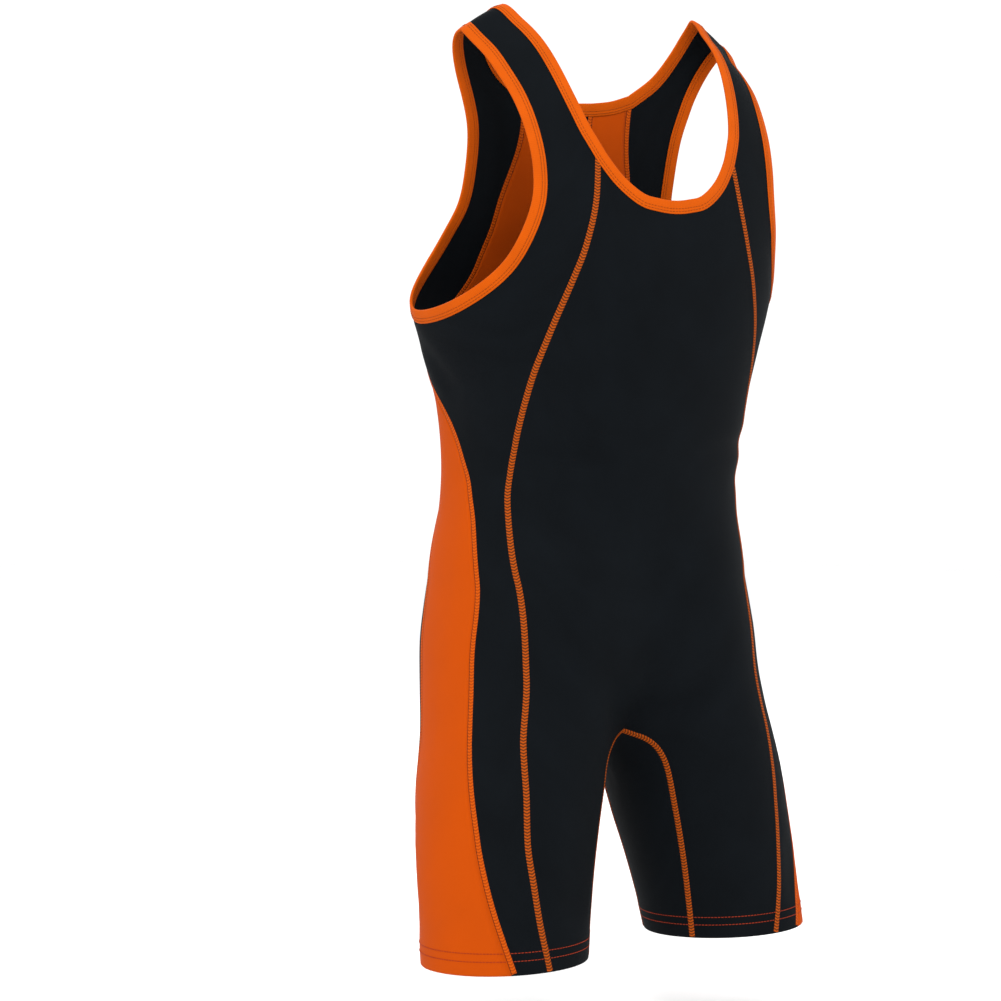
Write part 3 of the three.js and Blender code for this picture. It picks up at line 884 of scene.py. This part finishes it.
def knit_group():
    """Fine rows of knit loops under a short nap, with slow changes in how dense it looks."""
    tree = bpy.data.node_groups.new("knit_face", "ShaderNodeTree")
    place, across, down = cloth_place(tree)
    wale = waves(tree, across, KNIT_WALE)
    turn = math_node(tree, "MULTIPLY", down, math.tau / KNIT_COURSE)
    course = math_node(tree, "SINE", math_node(tree, "MULTIPLY_ADD", wale, 0.9, turn))
    loops = math_node(tree, "MULTIPLY_ADD", wale, 0.5, 0.5)
    rows = math_node(tree, "MULTIPLY_ADD", course, 0.25, loops)
    nap = noise_node(tree, place, 1600, 2, 0.6)
    cloud = noise_node(tree, place, 18, 3, 0.55)
    height = math_node(tree, "MULTIPLY_ADD", nap, 0.8, rows)
    clouds = math_node(tree, "MULTIPLY", cloud, 0.75)
    tone = math_node(tree, "MULTIPLY_ADD", nap, 0.25, clouds)
    rough = math_node(tree, "MULTIPLY_ADD", cloud, 0.16, 0.66)
    return give_outputs(tree, Tone=tone, Roughness=rough, Height=height)


def rib_group():
    """The folded stretch tape of the bindings: fine ribs across it and a soft nap."""
    tree = bpy.data.node_groups.new("binding_ribs", "ShaderNodeTree")
    place, _, down = cloth_place(tree)
    ribs = waves(tree, down, TAPE_RIB)
    nap = noise_node(tree, place, 900, 3, 0.6)
    cloud = noise_node(tree, place, 35, 2, 0.5)
    height = math_node(tree, "MULTIPLY_ADD", ribs, 0.35, nap)
    tone = math_node(tree, "MULTIPLY_ADD", ribs, 0.14, cloud)
    rough = math_node(tree, "MULTIPLY_ADD", nap, 0.2, 0.58)
    return give_outputs(tree, Tone=tone, Roughness=rough, Height=height)


def thread_group():
    """Threads laid across a flat seam, leaning one way on each half of it."""
    tree = bpy.data.node_groups.new("seam_threads", "ShaderNodeTree")
    place, across, down = cloth_place(tree)
    at = math_node(tree, "MULTIPLY_ADD", math_node(tree, "ABSOLUTE", across), 0.45, down)
    lines = waves(tree, at, SEAM_THREAD)
    nap = noise_node(tree, place, 1400, 2, 0.6)
    mask = math_node(tree, "MULTIPLY_ADD", lines, 0.42, 0.3)
    tone = math_node(tree, "MULTIPLY_ADD", nap, 0.4, mask)
    rough = math_node(tree, "MULTIPLY_ADD", nap, 0.25, 0.5)
    return give_outputs(tree, Tone=tone, Roughness=rough, Height=lines)


def cloth_material(name, group, dark, light, sheen, gloss, relief):
    material = bpy.data.materials.new(name)
    material.use_nodes = True
    tree = material.node_tree
    shader = tree.nodes["Principled BSDF"]
    face = add_node(tree, "ShaderNodeGroup", node_tree=group)
    colour = add_node(tree, "ShaderNodeMix", data_type="RGBA")
    ends = {"A": (*dark, 1), "B": (*light, 1)}
    for socket in colour.inputs:
        if socket.type == "RGBA":
            socket.default_value = ends[socket.name]
    tree.links.new(face.outputs["Tone"], colour.inputs["Factor"])
    result = [socket for socket in colour.outputs if socket.type == "RGBA"][0]
    tree.links.new(result, shader.inputs["Base Color"])
    tree.links.new(face.outputs["Roughness"], shader.inputs["Roughness"])
    bump = add_node(tree, "ShaderNodeBump")
    bump.inputs["Strength"].default_value = relief
    bump.inputs["Distance"].default_value = RELIEF_DEPTH
    tree.links.new(face.outputs["Height"], bump.inputs["Height"])
    tree.links.new(bump.outputs["Normal"], shader.inputs["Normal"])
    shader.inputs["Sheen Weight"].default_value = sheen
    shader.inputs["Sheen Roughness"].default_value = SHEEN_ROUGHNESS
    shader.inputs["Specular IOR Level"].default_value = gloss
    return material


def shade(colour, share):
    return tuple(share * part for part in colour)


def make_materials():
    colours = bpy.context.scene.singlet_colours
    knit = knit_group()
    ribs = rib_group()
    threads = thread_group()
    black = tuple(colours.black)
    orange = tuple(colours.orange)
    tape = tuple(colours.binding)
    thread = tuple(colours.thread)
    # Name, face, darkest and lightest colour, sheen, gloss and depth of relief
    looks = (
        ("black_knit", knit, shade(black, 0.4), shade(black, 1.3), 0.004, 0.03, 0.35),
        ("orange_knit", knit, shade(orange, 0.84), orange, 0.006, 0.04, 0.3),
        ("orange_binding", ribs, shade(tape, 0.78), tape, 0.004, 0.04, 0.35),
        ("flatlock_thread", threads, (0.03, 0.01, 0.004), thread, 0.0, 0.05, 0.8),
        ("stripe_seam", threads, shade(orange, 0.6), tape, 0.004, 0.05, 0.6),
        ("stitch_thread", ribs, shade(thread, 0.5), shade(thread, 0.8), 0.0, 0.08, 0.3),
        ("hem_thread", ribs, (0.2, 0.02, 0.006), (0.34, 0.034, 0.008), 0.0, 0.08, 0.3),
    )
    return {look[0]: cloth_material(*look) for look in looks}


MADE = {}


def shared():
    """The cut, the panels and the materials, worked out once."""
    if not MADE:
        cut = cut_lines()
        MADE.update(cut=cut, panels=panels(cut), materials=make_materials())
    return MADE


# Lines for bindings and seams


def evenly(line, step):
    """A line's points at even steps along it, laid back on the figure."""
    at = lengths_along(line)
    count = max(4, round(at[-1] / step))
    even = np.linspace(0, at[-1], count + 1)
    return on_figure(points_at(line, at, even), steps=4), even


def ways_of(line, closed):
    if closed:
        ring = line[:-1]
        way = unit(np.roll(ring, -1, axis=0) - np.roll(ring, 1, axis=0))
        return np.vstack([way, way[:1]])
    return unit(np.gradient(line, axis=0))


def neck_edge(cut):
    later = [cut[name][1:] for name in ("neck_strap", "neck_flank", "neck_back")]
    half = np.vstack([cut["neck_front"], *later])
    return np.vstack([half, other_side(half)[::-1][1:]])


def armhole_edge(made):
    return made["ring"][:, -1]


def beside(line, across, inset):
    """The line moved sideways over the figure, and the way out of the figure there."""
    base = on_figure(line + across * inset, steps=NEAR_STEPS)
    return base, outward(base)


def strip(columns, faces, across, along):
    """A grid from its columns, with the place of each point on the flat strip, in metres."""
    scale = np.zeros((len(along), len(columns), 2))
    scale[..., 0] = across * MM
    scale[..., 1] = along[:, None] * MM
    return np.stack(columns, axis=1), np.stack(faces, axis=1), scale


def binding_grid(edge, width):
    """A tape folded over an edge: rows along the edge, columns across the tape."""
    line, at = evenly(edge, BINDING_STEP)
    line[-1] = line[0]
    ups = outward(line)
    inner = unit(np.cross(ways_of(line, True), ups))
    leg = [(width - back, height) for back, height in BINDING_ROOT_PROFILE]
    leg.extend(BINDING_EDGE_PROFILE)
    outside = []
    inside = []
    for inset, height in leg:
        base, up = beside(line, inner, inset)
        outside.append((base + up * height, up))
        inside.append((base - up * (INNER_FACE + height), -up))
    fold = []
    for degrees in range(0, 181, 30):
        turn = math.radians(degrees)
        facing = ups * math.cos(turn) - inner * math.sin(turn)
        fold.append((line - ups * INNER_FACE / 2 + facing * FOLD_RADIUS, facing))
    columns, faces = zip(*outside, *fold, *inside[::-1])
    points = np.stack(columns, axis=1)
    scale = grain(points)
    scale[..., 1] = at[:, None] * MM
    return points, np.stack(faces, axis=1), scale


def stitch_line(edge, stitch):
    """A closed line and the length at each point, stretched to a whole number of stitches."""
    line, at = evenly(edge, stitch / STITCH_POINTS)
    line[-1] = line[0]
    return line, at * (round(at[-1] / stitch) * stitch / at[-1])


def thread_grid(line, at, inset, height, flip, stitch, radius):
    """A sewing thread in a ring that dips into the cloth at each end of every stitch."""
    across = unit(np.cross(ways_of(line, True), outward(line)))
    base, ups = beside(line, across, inset)
    ups = ups * flip
    phase = np.mod(at / stitch, 1)
    rise = np.minimum(1, STITCH_FULLNESS * np.sin(np.pi * phase))
    centre = base + ups * (height - radius * THREAD_SUNK + radius * THREAD_RISE * rise)[:, None]
    columns = []
    faces = []
    for k in range(THREAD_SIDES + 1):
        turn = math.tau * k / THREAD_SIDES
        facing = ups * math.cos(turn) + across * math.sin(turn)
        columns.append(centre + facing * radius)
        faces.append(facing)
    return strip(columns, faces, between(0, math.tau * radius, THREAD_SIDES), at)


def flatlock_grid(line, width, shift, lift, flip):
    """A flat seam: a low band with two ridges, on the outside (flip 1) or inside (-1)."""
    line, at = evenly(line, SEAM_STEP)
    across = unit(np.cross(ways_of(line, False), outward(line)))
    columns = []
    faces = []
    spread = np.linspace(-width / 2, width / 2, len(FLATLOCK_PROFILE))
    for place, rise in zip(spread, FLATLOCK_PROFILE):
        base, up = beside(line, across, shift + place)
        height = rise * lift
        columns.append(base + up * (height if flip > 0 else -INNER_FACE - height))
        faces.append(up * flip)
    return strip(columns, faces, spread, at)


def joined(name, pieces, weld=False):
    """Several grids of one kind as one object, sewn into one where they share an edge."""
    bpy.ops.object.select_all(action="DESELECT")
    for piece in pieces:
        piece.select_set(True)
    bpy.context.view_layer.objects.active = pieces[0]
    bpy.ops.object.join()
    pieces[0].name = name
    pieces[0].data.name = name
    if weld:
        bm = bmesh.new()
        bm.from_mesh(pieces[0].data)
        bmesh.ops.remove_doubles(bm, verts=bm.verts, dist=1e-5)
        bm.to_mesh(pieces[0].data)
        bm.free()
    return pieces[0]


class SingletSizes(bpy.types.PropertyGroup):
    cloth_thickness: bpy.props.FloatProperty(
        name="Cloth thickness",
        description="Thickness of the stretch knit",
        default=0.0011,
        min=0.0005,
        unit="LENGTH",
    )
    crease_share: bpy.props.FloatProperty(
        name="Creases",
        description="How deep the creases are, as a share of their table",
        default=1.5,
        min=0.0,
        max=3.0,
        subtype="FACTOR",
    )
    binding_width: bpy.props.FloatProperty(
        name="Binding width",
        description="Width of the folded binding on each face of the cloth",
        default=0.0108,
        unit="LENGTH",
    )
    binding_thickness: bpy.props.FloatProperty(
        name="Binding thickness",
        description="Thickness of the binding tape",
        default=0.0008,
        unit="LENGTH",
    )
    flatlock_width: bpy.props.FloatProperty(
        name="Flat seam width",
        description="Width of the flat seams between the black panels",
        default=0.0062,
        unit="LENGTH",
    )
    stripe_seam_width: bpy.props.FloatProperty(
        name="Stripe seam width",
        description="Width of the seams that lie along the orange stripes",
        default=0.005,
        unit="LENGTH",
    )
    stitch_length: bpy.props.FloatProperty(
        name="Stitch length",
        description="Length of one stitch of the hems and bindings",
        default=0.0031,
        unit="LENGTH",
    )
    thread_thickness: bpy.props.FloatProperty(
        name="Thread thickness",
        description="Thickness of the sewing thread",
        default=0.0007,
        unit="LENGTH",
    )
    hem_line_low: bpy.props.FloatProperty(
        name="Lower hem stitch line",
        description="Height of the lower stitch line above the hem edge",
        default=0.0125,
        unit="LENGTH",
    )
    hem_line_high: bpy.props.FloatProperty(
        name="Upper hem stitch line",
        description="Height of the upper stitch line above the hem edge",
        default=0.0195,
        unit="LENGTH",
    )


class SingletColours(bpy.types.PropertyGroup):
    black: bpy.props.FloatVectorProperty(
        name="Black knit",
        description="Colour of the black panels",
        default=(0.0036, 0.0048, 0.0062),
        subtype="COLOR",
    )
    orange: bpy.props.FloatVectorProperty(
        name="Orange knit",
        description="Colour of the flank stripes",
        default=(0.42, 0.054, 0.0006),
        subtype="COLOR",
    )
    binding: bpy.props.FloatVectorProperty(
        name="Binding",
        description="Colour of the neck and armhole bindings",
        default=(0.49, 0.073, 0.001),
        subtype="COLOR",
    )
    thread: bpy.props.FloatVectorProperty(
        name="Seam thread",
        description="Colour of the thread of the flat seams",
        default=(0.4, 0.066, 0.002),
        subtype="COLOR",
    )


class SINGLET_OT_cloth(bpy.types.Operator):
    """Makes the knit panels, with their creases and turned-up hems"""

    bl_idname = "singlet.cloth"
    bl_label = "Knit panels"

    def execute(self, context):
        thickness = context.scene.singlet_sizes.cloth_thickness
        made = shared()
        half = made["panels"]
        materials = made["materials"]
        black = materials["black_knit"]
        grids = {name: with_hem(half[name]) for name in ("front", "back", "flank", "side", "gusset")}
        grids["ring"] = (half["ring"], outward(half["ring"]))
        front = [np.concatenate([mirrored(part), part], axis=1) for part in grids["front"]]
        back = [np.concatenate([part, mirrored(part)], axis=1) for part in grids["back"]]
        gusset = [np.vstack([other_side(part)[::-1], part[1:]]) for part in grids["gusset"]]
        for name, node, grid, parted in (
            ("front_cloth", "front_panel", front, True),
            ("back_cloth", "back_panel", back, True),
            ("gusset_cloth", "crotch_gusset", gusset, False),
        ):
            piece = self.cloth(name, grid, black, parted)
            give_wall(piece, thickness, -1.0)
            settle(piece, "black_knit", node)
        for word in ("left", "right"):
            if word == "right":
                grids = {name: [mirrored(part) for part in grid] for name, grid in grids.items()}
            parts = []
            for k, grid in enumerate((grids["ring"], grids["side"])):
                parts.append(self.cloth(f"side_part_{word}_{k}", grid, black))
            piece = joined(f"side_cloth_{word}", parts, weld=True)
            give_wall(piece, thickness, -1.0)
            settle(piece, "black_knit", f"side_panel_{word}")
            piece = self.cloth(f"flank_cloth_{word}", grids["flank"], materials["orange_knit"])
            give_wall(piece, thickness, -1.0)
            settle(piece, "orange_knit", f"flank_stripe_{word}")
        return {"FINISHED"}

    def cloth(self, name, grid, material, parted=False):
        points, faces = grid
        return worn_piece(name, (points, faces, grain(points)), material, parted=parted)


class SINGLET_OT_bindings(bpy.types.Operator):
    """Makes the folded bindings of the neck and the armholes"""

    bl_idname = "singlet.bindings"
    bl_label = "Bindings"

    def execute(self, context):
        sizes = context.scene.singlet_sizes
        made = shared()
        tape = made["materials"]["orange_binding"]
        width = sizes.binding_width / MM
        neck = binding_grid(neck_edge(made["cut"]), width)
        arm = binding_grid(armhole_edge(made["panels"]), width)
        for name, node, kind, grid, other in (
            ("neck_binding_tape", "neck_binding", "neck_binding_tape", neck, False),
            ("armhole_binding_tape_left", "armhole_binding_left", "armhole_binding_tape", arm, False),
            ("armhole_binding_tape_right", "armhole_binding_right", "armhole_binding_tape", arm, True),
        ):
            piece = worn_piece(name, grid, tape, other, weld=True)
            give_wall(piece, sizes.binding_thickness, 0.0)
            settle(piece, "orange_binding", node)
        return {"FINISHED"}


class SINGLET_OT_flat_seams(bpy.types.Operator):
    """Makes the flat seams between the panels, outside and inside"""

    bl_idname = "singlet.flat_seams"
    bl_label = "Flat seams"

    def execute(self, context):
        sizes = context.scene.singlet_sizes
        made = shared()
        cut = made["cut"]
        width = sizes.flatlock_width / MM
        stripe = sizes.stripe_seam_width / MM
        ring = made["panels"]["ring"]
        gusset = {}
        for name in ("front", "back"):
            line = cut["gusset_" + name]
            gusset[name] = np.vstack([other_side(line)[::-1], line[1:]])
        clear = sizes.binding_width / MM - SEAM_UNDER_BINDING
        shift = STRIPE_SEAM_SHIFT
        lift = STRIPE_SEAM_LIFT
        # Name, line, width, shift as a share of the width, share of the height, on both sides
        seams = (
            ("front_seam", self.trimmed(cut["front_seam"], clear), width, 0.0, 1.0, True),
            ("shoulder_seam", self.shoulder(ring[SHOULDER_ROW], clear), width, 0.0, 1.0, True),
            ("gusset_front_seam", gusset["front"], width * GUSSET_SEAM_SHARE, 0.0, 1.0, False),
            ("gusset_back_seam", gusset["back"], width * GUSSET_SEAM_SHARE, 0.0, 1.0, False),
            ("stripe_front_seam", self.trimmed(cut["flank_front"], clear), stripe, shift, lift, True),
            ("stripe_back_seam", self.trimmed(cut["flank_back"], clear), stripe, -shift, lift, True),
        )
        looks = {"stripe": ("stripe_seam", "orange_knit"), "shoulder": ("black_knit", "black_knit")}
        for name, line, seam_width, shift, lift, paired in seams:
            threads, slot = looks.get(name.split("_")[0], ("flatlock_thread", "orange_binding"))
            parts = []
            for side in ((1, -1) if paired else (1,)):
                for flip in (1, -1):
                    grid = flatlock_grid(line, seam_width, shift * seam_width, lift, flip)
                    material = made["materials"][threads]
                    parts.append(worn_piece(f"{name}_{side}_{flip}", grid, material, side < 0))
            settle(joined(name, parts), slot)
        return {"FINISHED"}

    def trimmed(self, line, clear):
        """The line without its first stretch, which lies under a binding."""
        at = lengths_along(line)
        return np.vstack([points_at(line, at, clear), line[at > clear]])

    def shoulder(self, line, clear):
        """The line between the two bindings that it runs under, at even steps."""
        at = lengths_along(line)
        return points_at(line, at, np.linspace(clear, at[-1] - clear, SHOULDER_POINTS))


class SINGLET_OT_stitches(bpy.types.Operator):
    """Makes the rows of stitches along the bindings and round the hems"""

    bl_idname = "singlet.stitches"
    bl_label = "Stitches"

    def execute(self, context):
        sizes = context.scene.singlet_sizes
        made = shared()
        width = sizes.binding_width / MM
        radius = sizes.thread_thickness / MM / 2
        tape = sizes.binding_thickness / MM / 2
        stitch = sizes.stitch_length / MM
        thread = made["materials"]["stitch_thread"]
        hem_thread = made["materials"]["hem_thread"]
        edges = (
            ("neck_stitches", neck_edge(made["cut"]), False),
            ("armhole_stitches_left", armhole_edge(made["panels"]), False),
            ("armhole_stitches_right", armhole_edge(made["panels"]), True),
        )
        for name, edge, other in edges:
            parts = []
            line, at = stitch_line(edge, stitch)
            for back in BINDING_STITCH_ROWS:
                for flip, lift in ((1, STITCH_LIFT), (-1, STITCH_LIFT_INSIDE)):
                    grid = thread_grid(line, at, width - back, tape + lift, flip, stitch, radius)
                    part_name = f"{name}_{back}_{flip}"
                    parts.append(worn_piece(part_name, grid, thread, other, weld=True))
            settle(joined(name, parts), "orange_binding")
        for word, other in (("left", False), ("right", True)):
            parts = []
            for rise in (sizes.hem_line_low / MM, sizes.hem_line_high / MM):
                ring = round_point(HEM_Z + rise, between(0, 360, HEM_RING_STEPS))
                line, at = stitch_line(ring, stitch)
                for flip, height in ((1, 0.0), (-1, 2 * HEM_FOLD)):
                    grid = thread_grid(line, at, 0.0, height, flip, stitch, radius)
                    part_name = f"hem_row_{rise}_{flip}"
                    parts.append(worn_piece(part_name, grid, hem_thread, other, weld=True))
            settle(joined(f"hem_stitches_{word}", parts), "orange_binding")
        return {"FINISHED"}


class SINGLET_OT_stage(bpy.types.Operator):
    """Makes the pale floor, the soft lights and the camera"""

    bl_idname = "singlet.stage"
    bl_label = "Floor, lights and camera"

    def execute(self, context):
        scene = context.scene
        self.floor(scene)
        self.world(scene)
        for name, place, size, energy in (
            ("key_light", (-1.5, -2.2, 2.0), 1.6, 95.0),
            ("fill_light", (2.6, -1.6, 0.9), 2.2, 14.0),
            ("back_light", (0.6, 2.6, 1.4), 2.2, 45.0),
            ("side_light", (-2.8, 1.2, 0.6), 2.2, 14.0),
        ):
            self.soft_light(scene, name, place, size, energy)
        self.camera(scene)
        scene.view_settings.view_transform = "Standard"
        return {"FINISHED"}

    def floor(self, scene):
        bm = bmesh.new()
        bmesh.ops.create_circle(bm, cap_ends=True, segments=96, radius=9.0)
        bmesh.ops.translate(bm, verts=bm.verts, vec=(0, 0, FLOOR_Z))
        mesh = bpy.data.meshes.new("pale_floor")
        bm.to_mesh(mesh)
        bm.free()
        floor = bpy.data.objects.new("pale_floor", mesh)
        scene.collection.objects.link(floor)
        material = bpy.data.materials.new("pale_floor")
        material.use_nodes = True
        tree = material.node_tree
        shader = tree.nodes["Principled BSDF"]
        place = add_node(tree, "ShaderNodeTexCoord")
        grey = noise_node(tree, place.outputs["Object"], 3, 2, 0.5)
        colour = add_node(tree, "ShaderNodeMapRange")
        colour.inputs["To Min"].default_value = 0.86
        colour.inputs["To Max"].default_value = 0.9
        tree.links.new(grey, colour.inputs["Value"])
        tree.links.new(colour.outputs["Result"], shader.inputs["Base Color"])
        shader.inputs["Roughness"].default_value = 0.9
        mesh.materials.append(material)

    def world(self, scene):
        world = bpy.data.worlds.new("studio")
        world.use_nodes = True
        back = world.node_tree.nodes["Background"]
        back.inputs["Color"].default_value = (1.0, 1.0, 1.0, 1)
        back.inputs["Strength"].default_value = 1.12
        scene.world = world

    def soft_light(self, scene, name, place, size, energy):
        data = bpy.data.lights.new(name, "AREA")
        data.shape = "SQUARE"
        data.size = size
        data.energy = energy
        lamp = bpy.data.objects.new(name, data)
        lamp.location = place
        aim = LIGHTS_AIM - Vector(place)
        lamp.rotation_euler = aim.to_track_quat("-Z", "Y").to_euler()
        scene.collection.objects.link(lamp)

    def camera(self, scene):
        data = bpy.data.cameras.new("camera")
        camera = bpy.data.objects.new("camera", data)
        azimuth = math.radians(CAMERA_AZIMUTH)
        rise = math.radians(CAMERA_RISE)
        away = Vector((
            math.sin(azimuth) * math.cos(rise),
            -math.cos(azimuth) * math.cos(rise),
            math.sin(rise),
        ))
        camera.location = CAMERA_AIM + away * CAMERA_DISTANCE
        camera.rotation_euler = (-away).to_track_quat("-Z", "Y").to_euler()
        data.sensor_width = SENSOR_WIDTH
        data.lens = CAMERA_DISTANCE / METRES_A_PIXEL * SENSOR_WIDTH / PHOTO_SIDE
        data.shift_x = (FRAME_MIDDLE - GARMENT_MIDDLE[0]) / PHOTO_SIDE
        data.shift_y = (GARMENT_MIDDLE[1] - FRAME_MIDDLE) / PHOTO_SIDE
        data.clip_end = 60
        scene.collection.objects.link(camera)
        scene.camera = camera


class SINGLET_PT_panel(bpy.types.Panel):
    """Lists the steps and sizes of the singlet"""

    bl_idname = "SINGLET_PT_panel"
    bl_label = "Wrestling singlet"
    bl_space_type = "VIEW_3D"
    bl_region_type = "UI"
    bl_category = "Singlet"

    def draw(self, context):
        layout = self.layout
        for group in (context.scene.singlet_sizes, context.scene.singlet_colours):
            for name in group.bl_rna.properties.keys():
                if name not in {"rna_type", "name"}:
                    layout.prop(group, name)
        for operator in OPERATORS:
            layout.operator(operator.bl_idname)


OPERATORS = (
    SINGLET_OT_cloth,
    SINGLET_OT_bindings,
    SINGLET_OT_flat_seams,
    SINGLET_OT_stitches,
    SINGLET_OT_stage,
)
CLASSES = (SingletSizes, SingletColours, *OPERATORS, SINGLET_PT_panel)


def register():
    for item in CLASSES:
        bpy.utils.register_class(item)
    bpy.types.Scene.singlet_sizes = bpy.props.PointerProperty(type=SingletSizes)
    bpy.types.Scene.singlet_colours = bpy.props.PointerProperty(type=SingletColours)


def unregister():
    del bpy.types.Scene.singlet_colours
    del bpy.types.Scene.singlet_sizes
    for item in reversed(CLASSES):
        bpy.utils.unregister_class(item)


def main():
    register()
    bpy.ops.singlet.cloth()
    bpy.ops.singlet.bindings()
    bpy.ops.singlet.flat_seams()
    bpy.ops.singlet.stitches()
    bpy.ops.singlet.stage()


if __name__ == "__main__":
    main()
